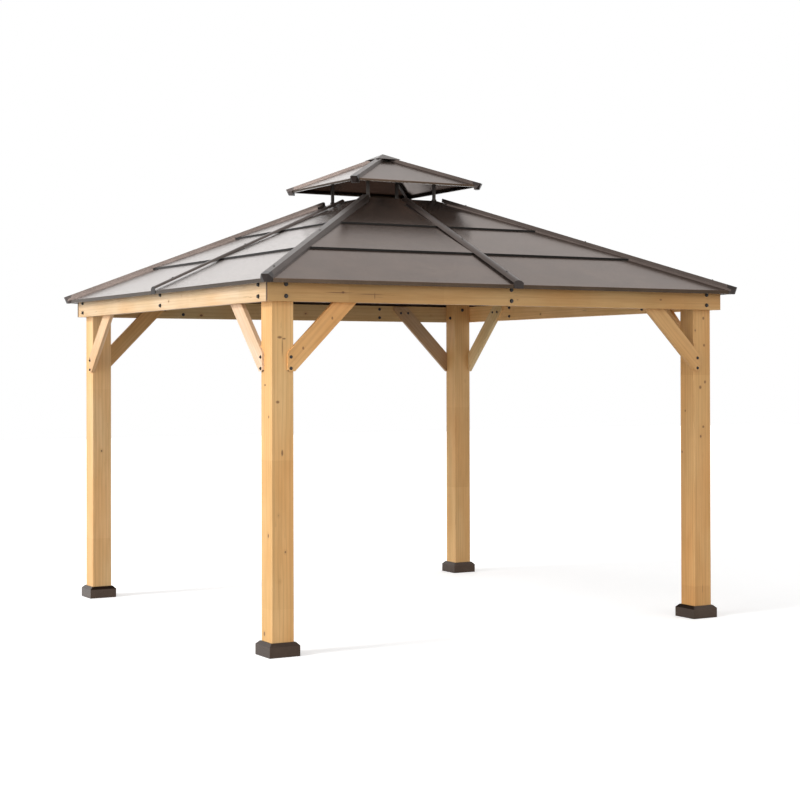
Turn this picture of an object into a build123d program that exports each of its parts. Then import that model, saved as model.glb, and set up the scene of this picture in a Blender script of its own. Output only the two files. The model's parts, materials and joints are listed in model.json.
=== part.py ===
from build123d import *
import math
import os

# Garden gazebo: four timber posts and beams under a two-tier sheet steel roof.
# Millimetres, +Z up, origin on the ground at the centre of the plan.
# Four equal sides: front faces -Y, right +X, back +Y, left -X.

# Timber frame
post_size = 140.0
post_spacing_x = 3076.0
post_spacing_y = 3012.0
beam_underside = 2036.0
beam_depth = 124.0
beam_thickness = 48.0
beam_tongue = 20.0
timber_ease = 3.0
post_notch = 8.0
wedge_edge = 6.0

# Knee braces, cut at 45 degrees and half-lapped at both ends
brace_thickness = 26.0
brace_width = 107.5
brace_inner_reach = 253.5
brace_lap = 41.0
brace_foot_trim = 4.0
brace_head_margin = 6.0
brace_head_trim = 28.0
brace_corner_clip = 8.0

# Feet
plate_thickness = 5.0
anchor_hole_radius = 6.0
anchor_spacing = 164.0
skirt_gap = 27.0
skirt_side = 62.0
skirt_chamfer = 20.0
skirt_sheet = 2.0
fit_gap = 0.3

# Main roof
pitch = 0.4552
eave_overhang = 49.0
sheet = 1.5
course_step = 12.0
course_overlap = 30.0
eave_course_length = 465.0
second_course_length = 448.0
hip_gap = 4.0
rib_gap = 4.0
ring_half = 275.0
ring_tube = 30.0
tube_wall = 2.0
rafter_width = 40.0
rafter_depth = 20.0
trim_height = 23.5
trim_flange = 30.0
trim_return = 20.0

# Folded caps over the hips
cap_width = 68.0
cap_rise = 28.0
cap_splay = 13.0
cap_nose = 19.5
cap_nose_lean = 15.0
cap_nose_foot = 13.0
cap_nose_depth = 60.0
cap_setback = 30.0

# Arched caps over the middle ribs
rib_width = 72.0
rib_rise = 28.0
rib_nose_foot = 66.0
rib_setback = 45.0

# Cupola
cupola_half = 486.0
cupola_pitch = 0.435
vent_gap = 89.0
cupola_trim_height = 14.0
cupola_trim_return = 16.0
cupola_tube = 20.0
cupola_cap_width = 56.0
cupola_cap_rise = 15.0
cupola_cap_splay = 6.0
cupola_cap_nose = 20.0
cupola_nose_lean = 17.0
cupola_nose_foot = 16.0
cupola_nose_depth = 50.0
cupola_nose_drop = 18.0
pillar_size = 18.0
collar_size = 25.0
collar_height = 12.0
apex_half = 90.0

# Sizes that follow from the ones above
diagonal = math.sqrt(2)
half_x = post_spacing_x / 2
half_y = post_spacing_y / 2
post_half = post_size / 2
beam_reach = post_half + beam_thickness
widest = max(half_x, half_y) + beam_reach
beam_top = beam_underside + beam_depth
eave_half = widest + eave_overhang
slope_cos = 1 / math.sqrt(1 + pitch ** 2)
sheet_v = sheet / slope_cos
rafter_v = rafter_depth / slope_cos
rafter_end = eave_half - trim_flange - fit_gap
hip_pitch = pitch / diagonal
hip_drop = hip_pitch * rafter_width / 2
cupola_hip_pitch = cupola_pitch / diagonal
skirt_half = post_half + skirt_gap
plate_half = skirt_half - skirt_sheet - fit_gap

CORNERS = (("front_left", -1, -1), ("front_right", 1, -1), ("back_right", 1, 1), ("back_left", -1, 1))
SIDES = (("front", 0), ("right", 1), ("back", 2), ("left", 3))


def save(node, *solids):
    shape = solids[0] if len(solids) == 1 else Compound(children=list(solids))
    export_step(shape, f"parts/{node}.step")


def turned(shape, quarter):
    return Rot(0, 0, 90 * quarter) * shape


def block(x0, x1, y0, y1, z0, z1):
    centre = Pos((x0 + x1) / 2, (y0 + y1) / 2, (z0 + z1) / 2)
    return centre * Box(x1 - x0, y1 - y0, z1 - z0)


def only_solid(shape):
    return shape.solids()[0]


def reach(quarter):
    """Distances to the posts' centres along a side and across to it, drawn on the front."""
    return (half_y, half_x) if quarter % 2 else (half_x, half_y)


def frame_top(d):
    """Height of the rafters' top plane at distance d from the centre line."""
    return beam_top + rafter_v + pitch * (widest - d)


def rafter_underside(d):
    return frame_top(d) - rafter_v


# Section of the roof seen along X: local x is y, local y is z.
def side_section(points):
    return Plane.YZ * make_face(Polyline(*points, close=True))


def side_bar(points, half_length):
    """A section on the front side, run along X both ways."""
    return extrude(side_section(points), amount=half_length, both=True)


# Timber frame

def post():
    """Front left post, its top notched for the hip rafter that it carries."""
    outer_x = half_x + post_half
    outer_y = half_y + post_half
    top = rafter_underside((outer_x + outer_y) / 2) + post_notch
    timber = block(-outer_x, -outer_x + post_size, -outer_y, -outer_y + post_size, plate_thickness, top)
    timber = chamfer(timber.edges().filter_by(Axis.Z), timber_ease)
    return only_solid(timber - hip_bar(0))


def long_beam():
    """Front or back beam, with a rabbet at each end that takes a side beam's end."""
    along, across = reach(0)
    end = along + beam_reach
    outer = across + beam_reach
    inner = across + post_half
    beam = block(-end, end, -outer, -inner, beam_underside, beam_top)
    beam -= block(-end, -(along + post_half), beam_tongue - outer, -inner, beam_underside, beam_top)
    beam -= block(along + post_half, end, beam_tongue - outer, -inner, beam_underside, beam_top)
    return only_solid(beam)


def short_beam():
    """Side beam, drawn on the front side and turned, between the tongues of the long ones."""
    along, across = reach(1)
    end = along + beam_reach - beam_tongue
    return block(-end, end, -(across + beam_reach), -(across + post_half), beam_underside, beam_top)


def rafter_wedge(quarter):
    """Timber wedge between a beam's top and the middle rafter, drawn on the front side."""
    along, across = reach(quarter)
    outer = across + beam_reach - wedge_edge
    inner = across + post_half
    points = [
        (-outer, beam_top),
        (-outer, rafter_underside(outer)),
        (-inner, rafter_underside(inner)),
        (-inner, beam_top),
    ]
    return side_bar(points, rafter_width / 2)


def brace(quarter):
    """Brace beside a side's left post: its foot laps the post, its head laps the beam."""
    along, across = reach(quarter)
    outer_reach = brace_inner_reach + brace_width * diagonal
    foot = outer_reach - brace_foot_trim
    head = beam_depth - brace_head_margin
    clip = brace_corner_clip
    outline = [
        (-brace_lap, -brace_lap - brace_inner_reach),
        (-brace_lap, clip - foot),
        (clip - brace_lap, -foot),
        (outer_reach - foot, -foot),
        (outer_reach + head - brace_head_trim, head - brace_head_trim),
        (outer_reach + head - brace_head_trim, head),
        (brace_inner_reach + head, head),
    ]
    points = [(u - along + post_half, v + beam_underside) for u, v in outline]
    face = Plane.XZ * make_face(Polyline(*points, close=True))
    lap_plane = -(across + post_half)
    bar = Pos(0, lap_plane, 0) * extrude(face, amount=brace_thickness / 2, both=True)
    post_edge = post_half - along
    bar -= block(-along - post_half, post_edge, lap_plane, lap_plane + brace_thickness, 0, beam_underside)
    bar -= block(post_edge, along, lap_plane - brace_thickness, lap_plane, beam_underside, beam_top)
    return only_solid(bar)


# Feet

def base_plate():
    plate = block(-plate_half, plate_half, -plate_half, plate_half, 0, plate_thickness)
    half = anchor_spacing / 2
    for x in (-half, half):
        for y in (-half, half):
            plate -= Pos(x, y, plate_thickness / 2) * Cylinder(anchor_hole_radius, plate_thickness * 2)
    return only_solid(plate)


def pyramid(half_low, half_high, z_low, z_high):
    """Square pyramid, cut off at the top, or standing on its cut end where half_high is larger."""
    section = [(-half_low, z_low), (-half_high, z_high), (half_high, z_high), (half_low, z_low)]
    ridge = side_bar(section, max(half_low, half_high))
    return ridge & turned(ridge, 1)


def skirt():
    """Folded cover round the foot of a post: upright side, chamfer and a lip to the post."""
    top = skirt_side + skirt_chamfer
    half_top = skirt_half - skirt_chamfer
    inner = skirt_half - skirt_sheet
    outside = block(-skirt_half, skirt_half, -skirt_half, skirt_half, 0, skirt_side)
    outside += pyramid(skirt_half, half_top, skirt_side, top)
    inside = block(-inner, inner, -inner, inner, 0, skirt_side)
    inside += pyramid(inner, half_top, skirt_side, top - skirt_sheet)
    hole = post_half + fit_gap
    inside += block(-hole, hole, -hole, hole, skirt_side, top)
    return only_solid(outside - inside)


# Main roof structure

def mid_rafter():
    """Steel tube down the middle of the front side, from the ring to the eave."""
    def bar(inset):
        points = []
        for d, v in ((ring_half, 0), (rafter_end, 0), (rafter_end, 1), (ring_half, 1)):
            z = frame_top(d) - (rafter_v - inset if v else inset)
            points.append((-d, z))
        return side_bar(points, rafter_width / 2 - inset)
    return only_solid(bar(0) - bar(tube_wall))


def hip_bar(inset):
    """Solid of the tube along the front left hip, each face moved in by inset."""
    s_low = rafter_end * diagonal - rafter_width / 2
    s_high = ring_half * diagonal
    points = []
    for s, v in ((s_high, 0), (s_low, 0), (s_low, 1), (s_high, 1)):
        top = frame_top(s / diagonal) - hip_drop
        z = top - (rafter_v - hip_drop - inset if v else inset)
        points.append((-s, z))
    return Rot(0, 0, -45) * side_bar(points, rafter_width / 2 - inset)


def hip_rafter():
    return only_solid(hip_bar(0) - hip_bar(tube_wall))


def roof_ring():
    """Welded square frame at the top of the rafters."""
    top = frame_top(ring_half)
    inner = ring_half - ring_tube
    ring = block(-ring_half, ring_half, -ring_half, ring_half, top - ring_tube, top)
    ring -= block(-inner, inner, -inner, inner, top - ring_tube, top)
    return only_solid(ring)


# Roof skin

def course_edges():
    """Distances of each course's lower and upper edge, eave course first."""
    edges = []
    low = eave_half
    for length in (eave_course_length, second_course_length):
        edges.append((low, low - length - course_overlap))
        low -= length
    edges.append((low, ring_half - tube_wall))
    return edges


def course_underside(index, d):
    """Height of a course's lower face: its low edge is lifted over the course below."""
    low, high = course_edges()[index]
    lift = course_step if index else 0.0
    return frame_top(d) + lift * (d - high) / (low - high)


def course(index):
    """One course on the front side, both halves, with a folded lip on its low edge."""
    low, high = course_edges()[index]
    points = [
        (-high, course_underside(index, high)),
        (-high, course_underside(index, high) + sheet_v),
        (-low, course_underside(index, low) + sheet_v),
    ]
    if index:
        lip = low - sheet
        seat = course_underside(index - 1, lip) + sheet_v
        points += [(-low, seat), (-lip, seat), (-lip, course_underside(index, lip))]
    else:
        points += [(-low, course_underside(index, low))]
    skin = side_bar(points, low)
    halves = []
    for side in (-1, 1):
        plan = [
            (side * (rib_gap / 2), -low),
            (side * (low - hip_gap), -low),
            (side * (high - hip_gap), -high),
            (side * (rib_gap / 2), -high),
        ]
        wedge = extrude(make_face(Polyline(*plan, close=True)), amount=2 * frame_top(0))
        halves.append(only_solid(skin & wedge))
    return halves


def eave_trim():
    """Folded channel under the eave of the front side."""
    outer = -eave_half
    top = frame_top(eave_half)
    foot = top + sheet_v - trim_height
    flange = trim_flange
    points = [
        (outer, top),
        (outer, foot),
        (outer + trim_return, foot),
        (outer + trim_return, foot + sheet),
        (outer + sheet, foot + sheet),
        (outer + sheet, top + pitch * sheet - sheet_v),
        (outer + flange, top + pitch * flange - sheet_v),
        (outer + flange, top + pitch * flange),
    ]
    bar = side_bar(points, eave_half)
    plan = [
        (-(eave_half - fit_gap), -eave_half),
        (eave_half - fit_gap, -eave_half),
        (eave_half - 2 * flange - fit_gap, -eave_half + 2 * flange),
        (-(eave_half - 2 * flange - fit_gap), -eave_half + 2 * flange),
    ]
    wedge = extrude(make_face(Polyline(*plan, close=True)), amount=2 * frame_top(0))
    return only_solid(bar & wedge)


def sloped_prism(outline, start, end, z_start, fall):
    """Section in X and height at y = start, run up to y = end with the slope fall."""
    points = [(x, z_start + z) for x, z in outline]
    face = Plane.XZ * make_face(Polyline(*points, close=True))
    length = (end - start) * math.sqrt(1 + fall ** 2)
    return Pos(0, start, 0) * extrude(face, amount=length, dir=(0, 1, fall))


def hip_channel(width, splay, rise, step, low, high, z_low, fall):
    """Folded channel over a hip, running up +Y from low to high.

    The hip rises by fall per millimetre, and the sheets drop away as much on each side.
    The channel's edges stand step above the sheets, on the lifted low edges of the courses.
    """
    half = width / 2
    top_half = half - splay

    def outline(inset):
        foot = step - fall * half - inset
        return [
            (-(half - inset), foot),
            (-(top_half - inset), rise - inset),
            (top_half - inset, rise - inset),
            (half - inset, foot),
            (0, min(step, rise - 2 * sheet) - inset),
        ]

    inner_low = low - sheet
    hollow = sloped_prism(outline(sheet), inner_low, high, z_low - sheet * fall, fall)
    return sloped_prism(outline(0), low, high, z_low, fall) - hollow


def hip_nose(width, splay, rise, step, low, depth, z_low, fall, foot, roof_half, trims_foot):
    """Solid end of a hip cap, cut out for the corner of the roof that it covers."""
    half = width / 2
    top_half = half - splay
    shoulder = step - fall * half
    bottom = foot - z_low - fall * depth
    outline = [
        (-half, bottom),
        (-half, shoulder),
        (-top_half, rise),
        (top_half, rise),
        (half, shoulder),
        (half, bottom),
    ]
    edge = roof_half + fit_gap
    roof = block(-edge, edge, -edge, edge, trims_foot - fit_gap, z_low + rise + depth)
    return sloped_prism(outline, low, low + depth, z_low, fall) - Rot(0, 0, 45) * roof


def nose_envelope(half, top_half, top, low, lean, foot_width, foot, roof_half, fall):
    """Space that a hip cap stays in: its end and both sides lean in to a narrow foot."""
    beyond = -low - roof_half * diagonal
    wing_low = (beyond - lean + foot_width / 2) / diagonal
    wing_top = (beyond + top_half) / diagonal
    height = -2 * fall * low
    spread = height * (wing_top - wing_low) / (top - foot)
    sides = pyramid(roof_half + wing_low, roof_half + wing_low + spread, foot, foot + height)
    profile = [
        (low + lean, foot),
        (low - lean, 2 * top - foot),
        (0, foot + height),
        (0, foot),
    ]
    return side_bar(profile, half) & Rot(0, 0, 45) * sides


def rib_cap():
    """Arched cap over the middle seam of the front side, its low end closed by a plate."""
    half = rib_width / 2
    low = -(eave_half + sheet)
    z_low = frame_top(-low) + sheet_v

    def at(x, z):
        return (x, z_low + z)

    crown = ThreePointArc(at(-half, course_step), at(0, rib_rise), at(half, course_step))
    inner = half - sheet
    hollow = ThreePointArc(at(inner, course_step), at(0, rib_rise - sheet), at(-inner, course_step))
    right_edge = Line(at(half, course_step), at(inner, course_step))
    left_edge = Line(at(-inner, course_step), at(-half, course_step))
    strip = Plane.XZ * make_face([crown, right_edge, hollow, left_edge])
    length = (-(ring_half + rib_setback) - low) / slope_cos
    shell = Pos(0, low, 0) * extrude(strip, amount=length, dir=(0, 1, pitch))
    foot = rib_nose_foot / 2
    skirt_line = Polyline(
        at(half, course_step),
        at(foot, -trim_height),
        at(-foot, -trim_height),
        at(-half, course_step),
    )
    nose = Plane.XZ * make_face([crown, *skirt_line.edges()])
    return only_solid(shell + Pos(0, low, 0) * extrude(nose, amount=sheet))


def hip_cap():
    """Cap over the front left hip, its nose closing on the corner of the eave trims."""
    low = -(eave_half * diagonal + cap_nose)
    high = -(ring_half + cap_setback) * diagonal
    z_low = frame_top(-low / diagonal) + sheet_v
    trims_foot = frame_top(eave_half) + sheet_v - trim_height
    half = cap_width / 2
    cap = hip_channel(cap_width, cap_splay, cap_rise, course_step, low, high, z_low, hip_pitch)
    cap += hip_nose(cap_width, cap_splay, cap_rise, course_step, low, cap_nose_depth, z_low, hip_pitch,
                    trims_foot, eave_half, trims_foot)
    cap &= nose_envelope(half, half - cap_splay, z_low + cap_rise, low, cap_nose_lean, cap_nose_foot,
                         trims_foot, eave_half, hip_pitch)
    return Rot(0, 0, -45) * only_solid(cap)


# Cupola

def cupola_top(d):
    """Height of the cupola's sheet underside at distance d from the centre line."""
    eave = frame_top(ring_half) + vent_gap + cupola_trim_height - sheet_v
    return eave + cupola_pitch * (cupola_half - d)


def cupola_frame():
    """Four hip tubes welded together under the apex."""
    drop = cupola_hip_pitch * cupola_tube / 2
    s_low = (cupola_half - cupola_trim_return - fit_gap) * diagonal - cupola_tube / 2
    points = []
    for s, v in ((0, 0), (s_low, 0), (s_low, 1), (0, 1)):
        z = cupola_top(s / diagonal) - drop - (cupola_tube if v else 0)
        points.append((-s, z))
    bar = Rot(0, 0, -45) * side_bar(points, cupola_tube / 2)
    frame = bar
    for quarter in (1, 2, 3):
        frame += turned(bar, quarter)
    return only_solid(frame)


def cupola_trim():
    """Folded channel round the cupola's eave."""
    outer = cupola_half
    top = cupola_top(cupola_half)
    foot = top + sheet_v - cupola_trim_height
    inner = outer - sheet
    lip = outer - cupola_trim_return
    ring = block(-outer, outer, -outer, outer, foot, top)
    ring -= block(-inner, inner, -inner, inner, foot + sheet, top)
    ring -= block(-lip, lip, -lip, lip, foot, foot + sheet)
    return only_solid(ring)


def cupola_panel():
    """Triangular sheet on the front side of the cupola."""
    low = cupola_half
    high = hip_gap * 2
    points = [
        (-high, cupola_top(high)),
        (-high, cupola_top(high) + sheet_v),
        (-low, cupola_top(low) + sheet_v),
        (-low, cupola_top(low)),
    ]
    skin = side_bar(points, low)
    plan = [
        (-(low - hip_gap), -low),
        (low - hip_gap, -low),
        (high - hip_gap, -high),
        (-(high - hip_gap), -high),
    ]
    wedge = extrude(make_face(Polyline(*plan, close=True)), amount=2 * cupola_top(0))
    return only_solid(skin & wedge)


def cupola_hip_cap():
    """Cap over the cupola's front left hip, its nose hanging below the cupola's trim."""
    low = -(cupola_half * diagonal + cupola_cap_nose)
    high = -cupola_cap_width
    fall = cupola_hip_pitch
    z_low = cupola_top(-low / diagonal) + sheet_v
    trims_foot = cupola_top(cupola_half) + sheet_v - cupola_trim_height
    foot = trims_foot - cupola_nose_drop
    half = cupola_cap_width / 2
    cap = hip_channel(cupola_cap_width, cupola_cap_splay, cupola_cap_rise, 0.0, low, high, z_low, fall)
    cap += hip_nose(cupola_cap_width, cupola_cap_splay, cupola_cap_rise, 0.0, low, cupola_nose_depth,
                    z_low, fall, foot, cupola_half, trims_foot)
    cap &= nose_envelope(half, half - cupola_cap_splay, z_low + cupola_cap_rise, low, cupola_nose_lean,
                         cupola_nose_foot, foot, cupola_half, fall)
    return Rot(0, 0, -45) * only_solid(cap)


def cupola_pillar():
    """Short post on the front left corner of the ring, up to the hip tube, with a collar."""
    centre = ring_half - ring_tube / 2
    outer = centre + pillar_size / 2
    inner = centre - pillar_size / 2
    foot = frame_top(ring_half)
    top = cupola_top(outer) - cupola_hip_pitch * cupola_tube / 2 - cupola_tube
    collar_outer = centre + collar_size / 2
    collar_inner = centre - collar_size / 2
    pillar = block(-outer, -inner, -outer, -inner, foot, top)
    pillar += block(-collar_outer, -collar_inner, -collar_outer, -collar_inner, foot, foot + collar_height)
    return only_solid(pillar)


def apex_cap():
    """Small pyramid over the meeting of the hip caps."""
    corner = apex_half
    shoulder = cupola_hip_pitch * (cupola_cap_width / 2 - cupola_cap_splay)
    z_low = cupola_top(corner) + 2 * sheet_v + cupola_cap_rise + shoulder
    z_high = z_low + pitch * corner
    outside = pyramid(corner, sheet, z_low, z_high)
    outside += block(-corner, corner, -corner, corner, z_low - sheet_v, z_low)
    inside = pyramid(corner, sheet, z_low - sheet_v, z_high - sheet_v)
    return only_solid(outside - inside)


def to_corner(shape, sx, sy):
    """A shape drawn at the front left corner, mirrored to the corner with these signs."""
    if sx > 0:
        shape = mirror(shape, about=Plane.YZ)
    if sy > 0:
        shape = mirror(shape, about=Plane.XZ)
    return shape


def main():
    os.makedirs("parts", exist_ok=True)
    timber = post()
    plate = base_plate()
    for name, sx, sy in CORNERS:
        save(f"post_{name}", to_corner(timber, sx, sy))
        save(f"base_plate_{name}", Pos(sx * half_x, sy * half_y, 0) * plate)
    cover = skirt()
    save("post_skirts", *[Pos(sx * half_x, sy * half_y, 0) * cover for name, sx, sy in CORNERS])
    for index, (name, quarter) in enumerate(SIDES):
        save(f"beam_{name}", turned(short_beam() if quarter % 2 else long_beam(), quarter))
        before = SIDES[index - 1][0]
        after = SIDES[(index + 1) % len(SIDES)][0]
        left_brace = brace(quarter)
        save(f"brace_{name}_{before}", turned(left_brace, quarter))
        save(f"brace_{name}_{after}", turned(mirror(left_brace, about=Plane.YZ), quarter))
    save("rafter_wedges", *[turned(rafter_wedge(quarter), quarter) for quarter in range(4)])
    save("hip_rafters", *[turned(hip_rafter(), quarter) for quarter in range(4)])
    save("mid_rafters", *[turned(mid_rafter(), quarter) for quarter in range(4)])
    save("roof_ring", roof_ring())
    for index in range(len(course_edges())):
        halves = course(index)
        for name, quarter in SIDES:
            save(f"roof_{name}_course_{index + 1}", *[turned(half, quarter) for half in halves])
    save("eave_trims", *[turned(eave_trim(), quarter) for quarter in range(4)])
    save("hip_caps", *[turned(hip_cap(), quarter) for quarter in range(4)])
    save("rib_caps", *[turned(rib_cap(), quarter) for quarter in range(4)])
    save("cupola_pillars", *[turned(cupola_pillar(), quarter) for quarter in range(4)])
    save("cupola_frame", cupola_frame())
    save("cupola_trim", cupola_trim())
    save("cupola_panels", *[turned(cupola_panel(), quarter) for quarter in range(4)])
    save("cupola_hip_caps", *[turned(cupola_hip_cap(), quarter) for quarter in range(4)])
    save("apex_cap", apex_cap())


main()
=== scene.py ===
import bmesh
import bpy
import json
import math
from mathutils import Matrix, Vector

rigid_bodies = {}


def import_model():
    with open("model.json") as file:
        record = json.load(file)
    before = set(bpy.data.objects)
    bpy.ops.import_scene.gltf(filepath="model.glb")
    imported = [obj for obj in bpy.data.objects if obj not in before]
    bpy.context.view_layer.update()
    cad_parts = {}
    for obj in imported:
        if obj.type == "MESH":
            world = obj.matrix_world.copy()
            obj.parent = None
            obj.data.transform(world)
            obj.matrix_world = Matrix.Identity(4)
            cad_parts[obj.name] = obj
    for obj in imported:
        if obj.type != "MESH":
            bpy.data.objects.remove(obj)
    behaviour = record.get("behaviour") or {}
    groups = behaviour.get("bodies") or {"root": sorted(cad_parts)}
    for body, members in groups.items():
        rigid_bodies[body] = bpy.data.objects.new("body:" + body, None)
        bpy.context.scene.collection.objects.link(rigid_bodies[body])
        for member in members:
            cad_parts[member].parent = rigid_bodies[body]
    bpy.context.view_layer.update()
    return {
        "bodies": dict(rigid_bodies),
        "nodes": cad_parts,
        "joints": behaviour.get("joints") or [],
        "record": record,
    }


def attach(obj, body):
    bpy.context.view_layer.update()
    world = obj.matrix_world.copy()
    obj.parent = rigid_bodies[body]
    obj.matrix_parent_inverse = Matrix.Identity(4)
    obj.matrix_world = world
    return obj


# Metres, in the frame of the CAD model. Sides in order: front (-Y), right (+X), back (+Y), left (-X).
POST_X = 1.538
POST_Y = 1.506
POST_HALF = 0.070
BEAM_THICKNESS = 0.048
BEAM_UNDERSIDE = 2.036
BRACE_HALF_THICKNESS = 0.013
EAVE_HALF = 1.705
CUPOLA_HALF = 0.486
PITCH = 0.4552
SHEET_EAVE_Z = 2.1614
COURSE_STEP = 0.012
SEAMS = (1.240, 0.792)
CAP_RISE = 0.028

# How far in from the corner, along x and y together, a cap's moulded end reaches
HIP_MOULDING = 0.060
CUPOLA_MOULDING = 0.055

# Washer's diameter and head's width across flats
BEAM_BOLT = (0.026, 0.019)
SPLICE_BOLT = (0.024, 0.017)
BRACE_BOLT = (0.020, 0.013)
ROOF_SCREW = (0.013, 0.007)

# Timber colours
PALE_WOOD = (0.800, 0.500, 0.225)
HONEY_WOOD = (0.700, 0.400, 0.150)
LATE_WOOD = (0.480, 0.245, 0.080)
KNOT_WOOD = (0.140, 0.060, 0.025)
CHECK_WOOD = (0.110, 0.050, 0.020)
MARK_WOOD = (0.185, 0.080, 0.026)
# End wood: darker than the side grain, and darker still as painted shade for the shadowed gap where the
# beams meet at the corners
END_WOOD_AND_SHADE = (0.120, 0.055, 0.022)
DARK_END_WOOD_AND_SHADE = (0.060, 0.026, 0.010)

# Steel colours and roughness
ROOF_BROWN = (0.086, 0.048, 0.030)
CAP_BROWN = (0.077, 0.059, 0.051)
TRIM_BROWN = (0.052, 0.033, 0.020)
SKIRT_BROWN = (0.050, 0.033, 0.024)
FRAME_BROWN = (0.050, 0.042, 0.037)
# Painted shade: the hems are near-black for the shadow line under each seam, though the folded edge
# itself is the sheet's brown
HEM_PAINTED_SHADE = (0.016, 0.012, 0.010)
# Painted shade: near-black for the shadow in the gap below a sheet's folded lip
PAINTED_GAP_SHADE = (0.008, 0.007, 0.006)
SHEET_ROUGHNESS = 0.22
CAP_ROUGHNESS = 0.36
FRAME_ROUGHNESS = 0.45
HEM_ROUGHNESS = 0.60


# Nodes

def put(tree, kind, inputs=None, **settings):
    """Adds a node. inputs maps a socket's name or number to a value or to another node's output."""
    node = tree.nodes.new(kind)
    for name, value in settings.items():
        setattr(node, name, value)
    for name, value in (inputs or {}).items():
        if isinstance(value, bpy.types.NodeSocket):
            tree.links.new(value, node.inputs[name])
        else:
            node.inputs[name].default_value = value
    return node


def new_material(name):
    material = bpy.data.materials.new(name)
    material.use_nodes = True
    tree = material.node_tree
    return material, tree, tree.nodes["Principled BSDF"]


def math_node(tree, operation, a, b=0.0, clamp=False):
    return put(tree, "ShaderNodeMath", {0: a, 1: b}, operation=operation, use_clamp=clamp).outputs[0]


def scaled(tree, value, factor, offset):
    """value times factor, plus offset."""
    inputs = {0: value, 1: factor, 2: offset}
    return put(tree, "ShaderNodeMath", inputs, operation="MULTIPLY_ADD").outputs[0]


def vector_node(tree, operation, first, second=(0, 0, 0)):
    return put(tree, "ShaderNodeVectorMath", {0: first, 1: second}, operation=operation)


def mix_colour(tree, factor, a, b, blend="MIX"):
    node = put(tree, "ShaderNodeMix", {"Factor": factor}, data_type="RGBA", blend_type=blend)
    for socket, value in ((node.inputs[6], a), (node.inputs[7], b)):
        if isinstance(value, bpy.types.NodeSocket):
            tree.links.new(value, socket)
        else:
            socket.default_value = (*value, 1.0)
    return node.outputs[2]


def overlaid(tree, colour, other, mask, share):
    """colour with the other colour laid over it, by the given share where mask is 1."""
    return mix_colour(tree, math_node(tree, "MULTIPLY", mask, share), colour, other)


def tinted(tree, colour, tint):
    return mix_colour(tree, 1.0, colour, tint, "MULTIPLY")


def ramp(tree, factor, low, high):
    """0 at low and before it, 1 at high and past it."""
    inputs = {"Value": factor, "From Min": low, "From Max": high}
    return put(tree, "ShaderNodeMapRange", inputs).outputs["Result"]


def noise(tree, vector, scale, detail=3.0, roughness=0.55):
    inputs = {"Vector": vector, "Scale": scale, "Detail": detail, "Roughness": roughness}
    return put(tree, "ShaderNodeTexNoise", inputs).outputs["Fac"]


def object_coordinates(tree):
    return put(tree, "ShaderNodeTexCoord").outputs["Object"]


def surface_normal(tree):
    return put(tree, "ShaderNodeTexCoord").outputs["Normal"]


def stretched(tree, vector, along):
    """Coordinates in which a pattern is drawn out along Z."""
    return put(tree, "ShaderNodeMapping", {"Vector": vector, "Scale": (1.0, 1.0, along)}).outputs[0]


def component(tree, vector, axis):
    return put(tree, "ShaderNodeSeparateXYZ", {0: vector}).outputs[axis]


def channel(tree, colour, number):
    return put(tree, "ShaderNodeSeparateColor", {0: colour}).outputs[number]


def plainly_seen(tree):
    """1 for what is seen straight, in a reflection or by transmission, and 0 for other light."""
    rays = put(tree, "ShaderNodeLightPath")
    seen = math_node(tree, "MAXIMUM", rays.outputs["Is Camera Ray"], rays.outputs["Is Glossy Ray"])
    return math_node(tree, "MAXIMUM", seen, rays.outputs["Is Transmission Ray"])


# Timber

def growth_rings(tree, grain):
    """Long rings of late wood, from a heart that lies off the piece's axis."""
    swayed = vector_node(tree, "ADD", grain, (0.031, 0.017, 0.0)).outputs[0]
    inputs = {
        "Vector": stretched(tree, swayed, 0.045),
        "Scale": 17.0,
        "Distortion": 5.0,
        "Detail": 2.0,
        "Detail Scale": 1.6,
    }
    wave = put(tree, "ShaderNodeTexWave", inputs, wave_type="RINGS", rings_direction="Z")
    return wave.outputs["Fac"]


def board_tone(tree, grain):
    """One value for each length of board between two finger joints."""
    height = math_node(tree, "ADD", component(tree, grain, "Z"), 0.37)
    inputs = {"W": height, "Scale": 1.35}
    boards = put(tree, "ShaderNodeTexVoronoi", inputs, voronoi_dimensions="1D")
    return channel(tree, boards.outputs["Color"], 0)


def scattered_knots(tree, grain):
    """Small knots of differing size, and the darker wood round each."""
    knots = put(tree, "ShaderNodeTexVoronoi", {"Vector": stretched(tree, grain, 0.7), "Scale": 7.5})
    reach = math_node(tree, "MULTIPLY", channel(tree, knots.outputs["Color"], 1), 0.07)
    edge = math_node(tree, "SUBTRACT", knots.outputs["Distance"], reach)
    return ramp(tree, edge, 0.035, 0.010), ramp(tree, edge, 0.11, 0.0)


def scattered_checks(tree, grain):
    """Fine drying checks along the grain, in patches."""
    line = ramp(tree, noise(tree, stretched(tree, grain, 0.03), 260.0, 2.0, 0.5), 0.70, 0.73)
    zone = ramp(tree, noise(tree, stretched(tree, grain, 0.5), 7.0, 1.0), 0.58, 0.64)
    return math_node(tree, "MULTIPLY", line, zone, clamp=True)


def placed_marks(tree, colour, streaks, marks):
    for spot, reach in marks:
        away = vector_node(tree, "SUBTRACT", object_coordinates(tree), spot).outputs[0]
        away = vector_node(tree, "DIVIDE", away, reach).outputs[0]
        distance = vector_node(tree, "LENGTH", away).outputs["Value"]
        ragged = math_node(tree, "ADD", distance, math_node(tree, "MULTIPLY", streaks, 0.6))
        colour = overlaid(tree, colour, MARK_WOOD, ramp(tree, ragged, 1.50, 0.80), 0.85)
    return colour


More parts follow.
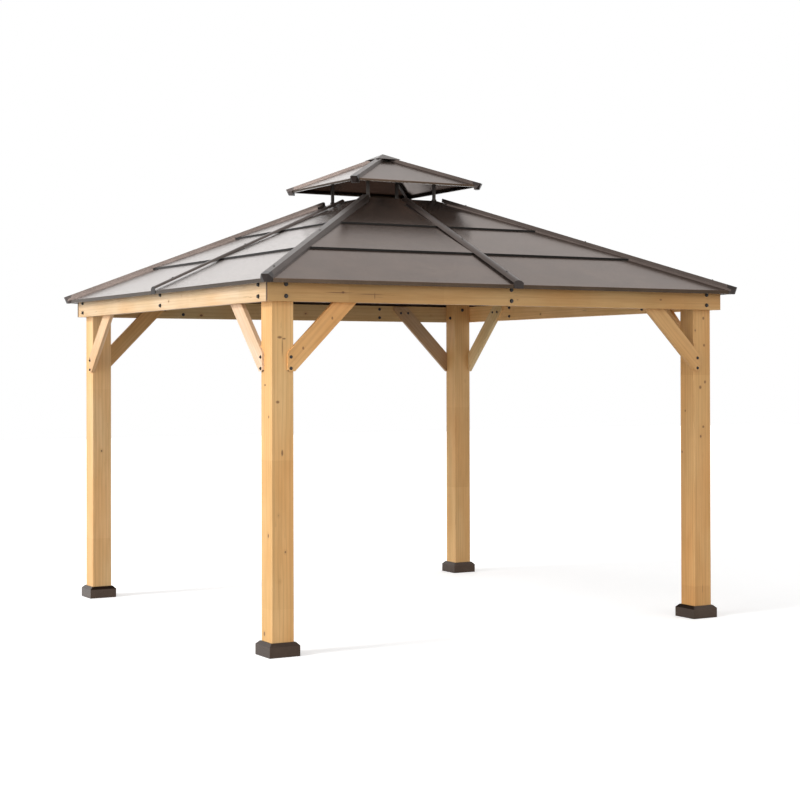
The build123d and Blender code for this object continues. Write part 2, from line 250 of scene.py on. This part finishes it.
def end_grain_and_shade(tree, colour, grain, rotation):
    """Darker wood on the faces cut across the grain, made darker still as painted shade for the
    shadowed gap where the beams' ends meet at the corners.
    """
    inputs = {"Vector": surface_normal(tree), "Rotation": rotation}
    turned = put(tree, "ShaderNodeMapping", inputs).outputs[0]
    facing_along = math_node(tree, "ABSOLUTE", component(tree, turned, "Z"))
    end_and_shade_colour = mix_colour(tree, noise(tree, grain, 240.0, 2.0), END_WOOD_AND_SHADE, DARK_END_WOOD_AND_SHADE)
    return mix_colour(tree, ramp(tree, facing_along, 0.90, 0.95), colour, end_and_shade_colour)


def timber(name, rotation, cast_and_painted_light, shift, marks):
    """Planed, finger-jointed softwood.

    rotation turns the grain's direction onto Z, the tone is a cast that is partly the piece's own
    and partly painted light and shade, lifting pieces that catch the light and darkening those in
    shade, and shift moves the figure so that no two pieces are alike. Each of the marks,
    a pin knot, resin streak or check, is a place and its reach along x, y and z.
    """
    material, tree, shader = new_material(name)
    inputs = {
        "Vector": object_coordinates(tree),
        "Rotation": rotation,
        "Location": (shift, -shift, shift),
    }
    grain = put(tree, "ShaderNodeMapping", inputs).outputs[0]

    streaks = noise(tree, stretched(tree, grain, 0.025), 95.0, 5.0, 0.62)
    fibres = noise(tree, stretched(tree, grain, 0.02), 620.0, 2.0)
    drift = noise(tree, stretched(tree, grain, 0.25), 9.0, 2.0)
    wander = noise(tree, stretched(tree, grain, 0.35), 4.0, 1.0)
    rings = growth_rings(tree, grain)
    knot, halo = scattered_knots(tree, grain)
    crack = scattered_checks(tree, grain)

    colour = mix_colour(tree, ramp(tree, drift, 0.3, 0.7), PALE_WOOD, HONEY_WOOD)
    colour = overlaid(tree, colour, LATE_WOOD, ramp(tree, rings, 0.55, 1.0), 0.26)
    colour = overlaid(tree, colour, LATE_WOOD, ramp(tree, streaks, 0.48, 0.78), 0.36)
    colour = overlaid(tree, colour, LATE_WOOD, ramp(tree, fibres, 0.45, 0.8), 0.20)
    cast = mix_colour(tree, board_tone(tree, grain), (0.95, 0.93, 0.89), (1.03, 1.04, 1.06))
    colour = tinted(tree, colour, cast)
    warmth = mix_colour(tree, ramp(tree, wander, 0.35, 0.65), (1.0, 1.0, 1.0), (1.04, 0.94, 0.84))
    colour = tinted(tree, colour, warmth)
    # Painted light and shade: the tone lifts or darkens the piece's colour as the piece is lit or in
    # shade, on top of its own cast.
    colour = tinted(tree, colour, cast_and_painted_light)
    colour = overlaid(tree, colour, LATE_WOOD, halo, 0.45)
    colour = overlaid(tree, colour, KNOT_WOOD, knot, 0.85)
    colour = overlaid(tree, colour, CHECK_WOOD, crack, 0.75)
    colour = placed_marks(tree, colour, streaks, marks)
    colour = end_grain_and_shade(tree, colour, grain, rotation)
    tree.links.new(colour, shader.inputs["Base Color"])

    tree.links.new(scaled(tree, streaks, 0.20, 0.48), shader.inputs["Roughness"])
    relief = math_node(tree, "ADD", math_node(tree, "MULTIPLY", fibres, 0.4), streaks)
    relief = math_node(tree, "SUBTRACT", relief, math_node(tree, "MULTIPLY", crack, 2.5))
    bump = put(tree, "ShaderNodeBump", {"Height": relief, "Strength": 0.30, "Distance": 0.0012})
    tree.links.new(bump.outputs[0], shader.inputs["Normal"])
    return material


# Steel

def spread(tree, place, corner):
    """How far out a point lies: along the diagonal where corner is set, else straight out."""
    parts = put(tree, "ShaderNodeSeparateXYZ", {0: place})
    across = math_node(tree, "ABSOLUTE", parts.outputs["X"])
    ahead = math_node(tree, "ABSOLUTE", parts.outputs["Y"])
    return math_node(tree, "ADD" if corner else "MAXIMUM", across, ahead)


def moulded_end(tree, shade, place, mottle, start, corner):
    """The black of a cap's moulded end, from the distance start outwards."""
    moulding = ramp(tree, spread(tree, place, corner), start, start + 0.001)
    black = mix_colour(tree, mottle, (0.026, 0.020, 0.018), (0.042, 0.034, 0.031))
    return mix_colour(tree, moulding, shade, black)


def paint(name, colour, roughness=SHEET_ROUGHNESS, painted_gap_shade=False, dark_end=None, corner=True):
    """Metallic baked paint on sheet steel, a little dusty, with slight waves in the sheet.

    The flag for upright faces colours them near-black, as painted shade for the shadowed gap below a
    sheet's folded lip.
    dark_end is the distance from the centre where a cap's moulded black end begins.
    """
    material, tree, shader = new_material(name)
    place = object_coordinates(tree)
    dust = noise(tree, place, 5.5, 4.0, 0.6)
    mottle = noise(tree, place, 48.0, 3.0)
    grain = noise(tree, place, 900.0, 2.0)
    waves = noise(tree, place, 2.6, 1.0)
    dusty = tuple(c * 1.25 + 0.004 for c in colour)
    deep = tuple(c * 0.82 for c in colour)
    shade = mix_colour(tree, ramp(tree, dust, 0.35, 0.70), colour, dusty)
    shade = overlaid(tree, shade, deep, ramp(tree, mottle, 0.45, 0.75), 0.30)
    if dark_end is not None:
        shade = moulded_end(tree, shade, place, mottle, dark_end, corner)
    # Painted shade: upright faces, the folded lips' faces, turn near-black for the shadow in the gap,
    # whatever the light.
    if painted_gap_shade:
        up = math_node(tree, "ABSOLUTE", component(tree, surface_normal(tree), "Z"))
        shade = mix_colour(tree, ramp(tree, up, 0.3, 0.2), shade, PAINTED_GAP_SHADE)
    tree.links.new(shade, shader.inputs["Base Color"])
    shader.inputs["Metallic"].default_value = 0.80
    shader.inputs["Sheen Weight"].default_value = 0.07
    shader.inputs["Sheen Roughness"].default_value = 0.30
    tree.links.new(scaled(tree, mottle, 0.10, roughness - 0.05), shader.inputs["Roughness"])
    fine = put(tree, "ShaderNodeBump", {"Height": grain, "Strength": 0.08, "Distance": 0.0006})
    inputs = {"Height": waves, "Strength": 0.15, "Distance": 0.006, "Normal": fine.outputs[0]}
    broad = put(tree, "ShaderNodeBump", inputs)
    tree.links.new(broad.outputs[0], shader.inputs["Normal"])
    return material


def bolt_steel():
    """Dark coated steel, worn lighter in places."""
    material, tree, shader = new_material("bolt_steel")
    wear = noise(tree, object_coordinates(tree), 160.0, 3.0)
    worn = ramp(tree, wear, 0.55, 0.75)
    shade = mix_colour(tree, worn, (0.022, 0.019, 0.017), (0.060, 0.050, 0.044))
    tree.links.new(shade, shader.inputs["Base Color"])
    shader.inputs["Metallic"].default_value = 0.35
    tree.links.new(scaled(tree, wear, 0.25, 0.28), shader.inputs["Roughness"])
    bump = put(tree, "ShaderNodeBump", {"Height": wear, "Strength": 0.15, "Distance": 0.0004})
    tree.links.new(bump.outputs[0], shader.inputs["Normal"])
    return material


# Geometry helpers

def side_turn(quarter):
    return Matrix.Rotation(math.radians(90 * quarter), 4, "Z")


def hip_turn(quarter):
    """Turns -Y onto the hip at the left end of a side."""
    return side_turn(quarter) @ Matrix.Rotation(math.radians(-45), 4, "Z")


def spans(quarter):
    """Distances to the posts' centres along a side and across to it."""
    return (POST_Y, POST_X) if quarter % 2 else (POST_X, POST_Y)


def sheet_z(d):
    """Height of the lower sheets' upper face at distance d from the centre line."""
    return SHEET_EAVE_Z + PITCH * (EAVE_HALF - d)


def on_hip(d, across=0.0, rise=0.0):
    """A point on a hip, before hip_turn: d out along each side, then across and up."""
    return Vector((across, -d * math.sqrt(2), sheet_z(d) + rise))


def finish_mesh(name, bm, material, smooth=False):
    bmesh.ops.recalc_face_normals(bm, faces=bm.faces)
    mesh = bpy.data.meshes.new(name)
    bm.to_mesh(mesh)
    bm.free()
    for face in mesh.polygons:
        face.use_smooth = smooth
    piece = bpy.data.objects.new(name, mesh)
    bpy.context.scene.collection.objects.link(piece)
    mesh.materials.append(material)
    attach(piece, "root")
    return piece


def skin(bm, rings):
    """Joins closed rings of vertices into a body and closes both its ends."""
    for low, high in zip(rings, rings[1:]):
        for step in range(len(low)):
            after = (step + 1) % len(low)
            bm.faces.new((low[step], low[after], high[after], high[step]))
    bm.faces.new(list(reversed(rings[0])))
    bm.faces.new(rings[-1])


def stack(bm, place, sides, layers):
    """Rings of the given (radius, height) joined into a closed body along place's Z."""
    rings = []
    for radius, height in layers:
        ring = []
        for step in range(sides):
            angle = 2 * math.pi * step / sides
            spot = Vector((radius * math.cos(angle), radius * math.sin(angle), height))
            ring.append(bm.verts.new(place @ spot))
        rings.append(ring)
    skin(bm, rings)


def hex_bolt(bm, place, washer, head):
    """Washer and hexagon head standing on place's XY plane."""
    seat = -0.0005
    sunk = 0.0002
    thickness = washer * 0.09
    stack(bm, place, 28, [
        (washer * 0.5, seat),
        (washer * 0.5, thickness * 0.7),
        (washer * 0.47, thickness),
    ])
    radius = head / math.sqrt(3)
    rise = thickness + head * 0.42
    stack(bm, place, 6, [
        (radius, thickness * 0.9),
        (radius, rise - head * 0.08),
        (radius * 0.86, rise),
    ])
    stack(bm, place, 20, [
        (radius * 0.78, rise - sunk),
        (radius * 0.70, rise + head * 0.02),
    ])


def facing(spot, direction):
    """Frame at spot with its Z along direction."""
    return Matrix.Translation(spot) @ direction.to_track_quat("Z", "Y").to_matrix().to_4x4()


# Bolts

def beam_bolts(material):
    """Bolts through the beams at the posts and mid-span, and those on their inner faces."""
    bm = bmesh.new()
    outward = Vector((0, -1, 0))
    splice = 0.845
    outer_rows = (BEAM_UNDERSIDE + 0.029, BEAM_UNDERSIDE + 0.097)
    inner_rows = (BEAM_UNDERSIDE + 0.030, BEAM_UNDERSIDE + 0.098)
    for quarter in range(4):
        along, across = spans(quarter)
        face = -(across + POST_HALF + BEAM_THICKNESS)
        back = -(across + POST_HALF)
        inner = -(across - POST_HALF)
        turn = side_turn(quarter)
        for x in (-along, 0.0, along):
            for z in outer_rows:
                hex_bolt(bm, turn @ facing(Vector((x, face, z)), outward), *BEAM_BOLT)
        for x in (-splice, splice):
            for z in inner_rows:
                hex_bolt(bm, turn @ facing(Vector((x, back, z)), -outward), *SPLICE_BOLT)
        level = BEAM_UNDERSIDE + (0.033 if quarter % 2 else 0.097)
        for x in (-along, along):
            hex_bolt(bm, turn @ facing(Vector((x, inner, level)), -outward), *BEAM_BOLT)
    return finish_mesh("beam_bolts", bm, material)


def brace_bolts(material):
    """Two bolts at each end of every brace."""
    bm = bmesh.new()
    outward = Vector((0, -1, 0))
    foot_inset = 0.022
    foot_drops = (0.318, 0.384)
    head_reaches = (0.366, 0.432)
    head_level = BEAM_UNDERSIDE + 0.069
    for quarter in range(4):
        along, across = spans(quarter)
        lap = -(across + POST_HALF)
        front = lap - BRACE_HALF_THICKNESS
        back = lap + BRACE_HALF_THICKNESS
        post_edge = along - POST_HALF
        turn = side_turn(quarter)
        for hand in (-1, 1):
            for drop in foot_drops:
                spot = Vector((hand * (post_edge + foot_inset), front, BEAM_UNDERSIDE - drop))
                hex_bolt(bm, turn @ facing(spot, outward), *BRACE_BOLT)
            for reach in head_reaches:
                spot = Vector((hand * (post_edge - reach), back, head_level))
                hex_bolt(bm, turn @ facing(spot, -outward), *BRACE_BOLT)
    return finish_mesh("brace_bolts", bm, material)


# Roof details

def seam_hems(material):
    """Rolled edge along the low edge of each upper course, both halves of every side, coloured
    near-black as painted shade for the shadow line under each seam.
    """
    bm = bmesh.new()
    radius = 0.0018
    proud = 0.0006
    middle_gap = 0.004
    hip_gap = 0.006
    lying = Matrix.Rotation(math.radians(90), 4, "Y")
    for quarter in range(4):
        turn = side_turn(quarter)
        for d in SEAMS:
            z = sheet_z(d) + COURSE_STEP - radius
            for x0, x1 in ((-(d - hip_gap), -middle_gap), (middle_gap, d - hip_gap)):
                frame = Matrix.Translation((x0, -d - proud, z)) @ lying
                stack(bm, turn @ frame, 12, [
                    (radius * 0.6, 0.0),
                    (radius, radius * 0.4),
                    (radius, x1 - x0 - radius * 0.4),
                    (radius * 0.6, x1 - x0),
                ])
    return finish_mesh("seam_hems", bm, material, smooth=True)


def hip_closures(material):
    """Strips that close the gap between each hip cap's feet and the sheets below."""
    bm = bmesh.new()
    upper_end = 0.330
    lower_end = 1.692
    half_width = 0.034
    foot = half_width + 0.002
    sink = 0.0015
    tuck = 0.003
    crown = 0.006
    side_fall = PITCH / math.sqrt(2)
    foot_rise = -foot * side_fall - sink
    section = (
        (-half_width, tuck),
        (-foot, foot_rise),
        (0.0, -sink),
        (foot, foot_rise),
        (half_width, tuck),
        (0.0, crown),
    )
    for quarter in range(4):
        diagonal = hip_turn(quarter)
        rings = []
        for d in (upper_end, lower_end):
            rings.append([bm.verts.new(diagonal @ on_hip(d, across, rise)) for across, rise in section])
        skin(bm, rings)
    return finish_mesh("hip_closures", bm, material)


def roof_screws(material):
    """Screws with washers down the middle of the hip caps and the rib caps."""
    bm = bmesh.new()
    hip_fall = math.atan(PITCH / math.sqrt(2))
    hip_up = Vector((0, -math.sin(hip_fall), math.cos(hip_fall)))
    rib_fall = math.atan(PITCH)
    rib_up = Vector((0, -math.sin(rib_fall), math.cos(rib_fall)))
    hip_distances = (1.605, 1.006, 0.420)
    rib_distances = (1.572, 1.053, 0.450)
    for quarter in range(4):
        for d in hip_distances:
            spot = on_hip(d, rise=CAP_RISE)
            hex_bolt(bm, hip_turn(quarter) @ facing(spot, hip_up), *ROOF_SCREW)
        for d in rib_distances:
            spot = Vector((0, -d, sheet_z(d) + CAP_RISE))
            hex_bolt(bm, side_turn(quarter) @ facing(spot, rib_up), *ROOF_SCREW)
    return finish_mesh("roof_screws", bm, material)


# Stage

def pale_ground(name):
    """White to the camera and in reflections, with the object's shadow kept."""
    material, tree, shader = new_material(name)
    grain = noise(tree, object_coordinates(tree), 3.0, 3.0)
    white = mix_colour(tree, grain, (0.86, 0.86, 0.86), (0.88, 0.88, 0.88))
    seen = plainly_seen(tree)
    shade = mix_colour(tree, seen, (0.48, 0.47, 0.45), white)
    tree.links.new(shade, shader.inputs["Base Color"])
    shader.inputs["Roughness"].default_value = 0.9
    shader.inputs["Specular IOR Level"].default_value = 0.1
    shader.inputs["Emission Color"].default_value = (1.0, 1.0, 1.0, 1.0)
    tree.links.new(math_node(tree, "MULTIPLY", seen, 0.45), shader.inputs["Emission Strength"])
    return material


def ground():
    bm = bmesh.new()
    bmesh.ops.create_grid(bm, x_segments=2, y_segments=2, size=30.0)
    mesh = bpy.data.meshes.new("ground")
    bm.to_mesh(mesh)
    bm.free()
    floor = bpy.data.objects.new("ground", mesh)
    mesh.materials.append(pale_ground("pale_ground"))
    bpy.context.scene.collection.objects.link(floor)


def sky():
    """Even light all round, plain white where it is seen."""
    light = 0.54
    world = bpy.data.worlds.new("sky")
    bpy.context.scene.world = world
    world.use_nodes = True
    tree = world.node_tree
    background = tree.nodes["Background"]
    background.inputs["Color"].default_value = (1.0, 1.0, 1.0, 1.0)
    strength = scaled(tree, plainly_seen(tree), 1.0 - light, light)
    tree.links.new(strength, background.inputs["Strength"])


def sun(name, energy, azimuth, elevation, softness):
    """Light from azimuth, 0 in front of the object (-Y) and 90 on its left (-X)."""
    data = bpy.data.lights.new(name, "SUN")
    data.energy = energy
    data.angle = math.radians(softness)
    lamp = bpy.data.objects.new(name, data)
    lamp.rotation_euler = (math.radians(90 - elevation), 0, math.radians(-azimuth))
    bpy.context.scene.collection.objects.link(lamp)


def camera():
    """The view from the front left, for a square picture, set out from the near post's outer corner."""
    picture = 800
    focal_length = 1713.9
    centre_x = 398.89
    centre_y = 358.70
    eye_height = 1.6273
    to_the_right = 0.7277
    distance = 9.7919
    turn = math.radians(29.630)
    tilt = math.radians(90.457)
    roll = math.radians(0.138)
    data = bpy.data.cameras.new("camera")
    view = bpy.data.objects.new("camera", data)
    bpy.context.scene.collection.objects.link(view)
    data.sensor_width = 36.0
    data.lens = data.sensor_width * focal_length / picture
    data.shift_x = (picture / 2 - centre_x) / picture
    data.shift_y = (centre_y - picture / 2) / picture
    data.clip_end = 200.0
    right = Vector((math.cos(turn), -math.sin(turn), 0))
    ahead = Vector((math.sin(turn), math.cos(turn), 0))
    near_corner = Vector((-(POST_X + POST_HALF), -(POST_Y + POST_HALF), eye_height))
    view.location = near_corner + right * to_the_right - ahead * distance
    view.rotation_euler = (tilt, roll, -turn)
    bpy.context.scene.camera = view


# Dressing the CAD nodes

def dress(nodes, material, *names):
    for name in names:
        slots = nodes[name].material_slots
        if not slots:
            nodes[name].data.materials.append(material)
        for slot in slots:
            slot.material = material


def timber_marks(name):
    """The larger knots, streaks and checks on the front and left faces of a piece."""
    front = -(POST_Y + POST_HALF)
    side = -(POST_X + POST_HALF)
    inner_side = POST_X - POST_HALF
    deep = 0.030
    pin = (0.010, deep, 0.011)
    side_pin = (deep, 0.008, 0.009)
    if name == "post_front_left":
        return (
            ((-1.556, front, 1.830), (0.016, deep, 0.008)),
            ((-1.528, front, 1.822), (0.012, deep, 0.005)),
            ((-1.540, front, 1.775), (0.003, deep, 0.060)),
            ((-1.569, front, 1.459), (0.012, deep, 0.009)),
            ((-1.541, front, 1.167), (0.007, deep, 0.018)),
            ((side, -1.488, 1.556), (deep, 0.014, 0.006)),
            ((side, -1.537, 1.373), side_pin),
        )
    if name == "post_front_right":
        return (
            ((1.551, front, 1.981), pin),
            ((1.556, front, 1.802), pin),
            ((1.563, front, 1.559), pin),
            ((1.523, front, 1.524), (0.011, deep, 0.012)),
            ((1.547, front, 1.263), (0.010, deep, 0.009)),
            ((inner_side, -1.487, 1.368), side_pin),
            ((inner_side, -1.452, 1.094), side_pin),
        )
    if name == "beam_front":
        outer = front - BEAM_THICKNESS
        return (
            ((1.158, outer, 2.094), (0.012, deep, 0.007)),
            ((-1.196, outer, 2.091), (0.092, deep, 0.0032)),
            ((-0.990, outer, 2.086), (0.094, deep, 0.0032)),
            ((-0.960, outer, 2.077), (0.004, deep, 0.020)),
        )
    if name == "brace_front_left":
        lap = front - BRACE_HALF_THICKNESS
        return (
            ((-1.412, lap, 1.768), (0.007, deep, 0.010)),
            ((-1.223, lap, 1.944), (0.006, deep, 0.009)),
        )
    return ()


def dress_timber(nodes):
    """Each piece of timber has grain along its length, a figure of its own and a tone that is partly
    its own cast and partly painted light and shade.
    """
    figure_step = 0.913
    upright = (0, 0, 0)
    along_x = (0, math.radians(-90), 0)
    along_y = (math.radians(90), 0, 0)
    rising_x = (0, math.radians(-45), 0)
    falling_x = (0, math.radians(45), 0)
    rising_y = (math.radians(45), 0, 0)
    falling_y = (math.radians(-45), 0, 0)
    # The tones are partly each piece's own cast and partly painted light and shade. Where a tone lifts
    # a piece, most in blue, as on beam_left, beam_right, post_back_left and the left braces, it is a
    # painted highlight on wood that catches the light. Where it darkens one, as on post_front_right,
    # beam_front and brace_back_right, it is painted shade.
    pieces = {
        "post_front_left": (upright, (1.00, 1.02, 1.00)),
        "post_front_right": (upright, (0.84, 0.80, 0.71)),
        "post_back_right": (upright, (0.90, 0.92, 0.90)),
        "post_back_left": (upright, (1.08, 1.20, 1.42)),
        "beam_front": (along_x, (0.72, 0.70, 0.62)),
        "beam_back": (along_x, (0.77, 0.88, 1.00)),
        "beam_left": (along_y, (0.99, 1.22, 1.85)),
        "beam_right": (along_y, (1.20, 1.28, 1.38)),
        "brace_front_left": (rising_x, (0.99, 0.93, 0.84)),
        "brace_front_right": (falling_x, (0.84, 0.83, 0.80)),
        "brace_back_left": (rising_x, (0.92, 0.92, 0.88)),
        "brace_back_right": (falling_x, (0.57, 0.62, 0.83)),
        "brace_left_front": (rising_y, (0.96, 1.21, 2.05)),
        "brace_left_back": (falling_y, (1.00, 1.12, 1.55)),
        "brace_right_front": (rising_y, (1.00, 1.00, 1.00)),
        "brace_right_back": (falling_y, (1.00, 1.28, 1.68)),
        "rafter_wedges": (along_x, (0.95, 0.93, 0.88)),
    }
    for number, (name, (rotation, cast_and_painted_light)) in enumerate(pieces.items()):
        shift = number * figure_step
        dress(nodes, timber(f"timber_{name}", rotation, cast_and_painted_light, shift, timber_marks(name)), name)


def dress_roof(nodes):
    courses = [name for name in nodes if "_course_" in name]
    eave_courses = [name for name in courses if name.endswith("1")]
    upper_courses = [name for name in courses if not name.endswith("1")]
    dress(nodes, paint("roof_eave_paint", ROOF_BROWN), *eave_courses)
    # The upper courses carry painted shade on their upright lip faces.
    dress(nodes, paint("roof_upper_paint_and_gap_shade", ROOF_BROWN, painted_gap_shade=True), *upper_courses)
    dress(nodes, paint("trim_paint", TRIM_BROWN), "eave_trims", "cupola_trim")
    dress(nodes, paint("cupola_paint", ROOF_BROWN), "cupola_panels")


def dress_caps(nodes):
    """The long caps end in black moulded noses. A rib cap's nose begins just past the eave."""
    just_past = 0.0002
    hip_end = 2 * EAVE_HALF - HIP_MOULDING
    rib_end = EAVE_HALF + just_past
    cupola_end = 2 * CUPOLA_HALF - CUPOLA_MOULDING
    hip = paint("hip_cap_paint", CAP_BROWN, CAP_ROUGHNESS, dark_end=hip_end)
    rib = paint("rib_cap_paint", CAP_BROWN, CAP_ROUGHNESS, dark_end=rib_end, corner=False)
    cupola = paint("cupola_cap_paint", CAP_BROWN, CAP_ROUGHNESS, dark_end=cupola_end)
    dress(nodes, hip, "hip_caps")
    dress(nodes, rib, "rib_caps")
    dress(nodes, cupola, "cupola_hip_caps")
    dress(nodes, paint("apex_paint", CAP_BROWN, CAP_ROUGHNESS), "apex_cap")


def dress_frame_steel(nodes):
    plates = [name for name in nodes if name.startswith("base_plate_")]
    inner = ["hip_rafters", "mid_rafters", "roof_ring", "cupola_pillars", "cupola_frame"]
    dress(nodes, paint("frame_paint", FRAME_BROWN, FRAME_ROUGHNESS), *inner, *plates)
    dress(nodes, paint("skirt_paint", SKIRT_BROWN), "post_skirts")


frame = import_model()
camera()
ground()
sky()
sun("key", energy=1.7, azimuth=90, elevation=33, softness=14)
sun("side", energy=1.95, azimuth=80, elevation=4, softness=44)
sun("fill", energy=0.80, azimuth=-5, elevation=8, softness=50)
sun("back", energy=0.13, azimuth=200, elevation=15, softness=32)
dress_timber(frame["nodes"])
dress_roof(frame["nodes"])
dress_caps(frame["nodes"])
dress_frame_steel(frame["nodes"])
steel = bolt_steel()
beam_bolts(steel)
brace_bolts(steel)
roof_screws(steel)
hip_closures(paint("closure_paint", CAP_BROWN, CAP_ROUGHNESS))
# The hems' near-black is painted shade for the shadow line under each seam.
seam_hems(paint("hem_painted_shade", HEM_PAINTED_SHADE, HEM_ROUGHNESS))
bpy.context.scene.view_settings.view_transform = "Standard"
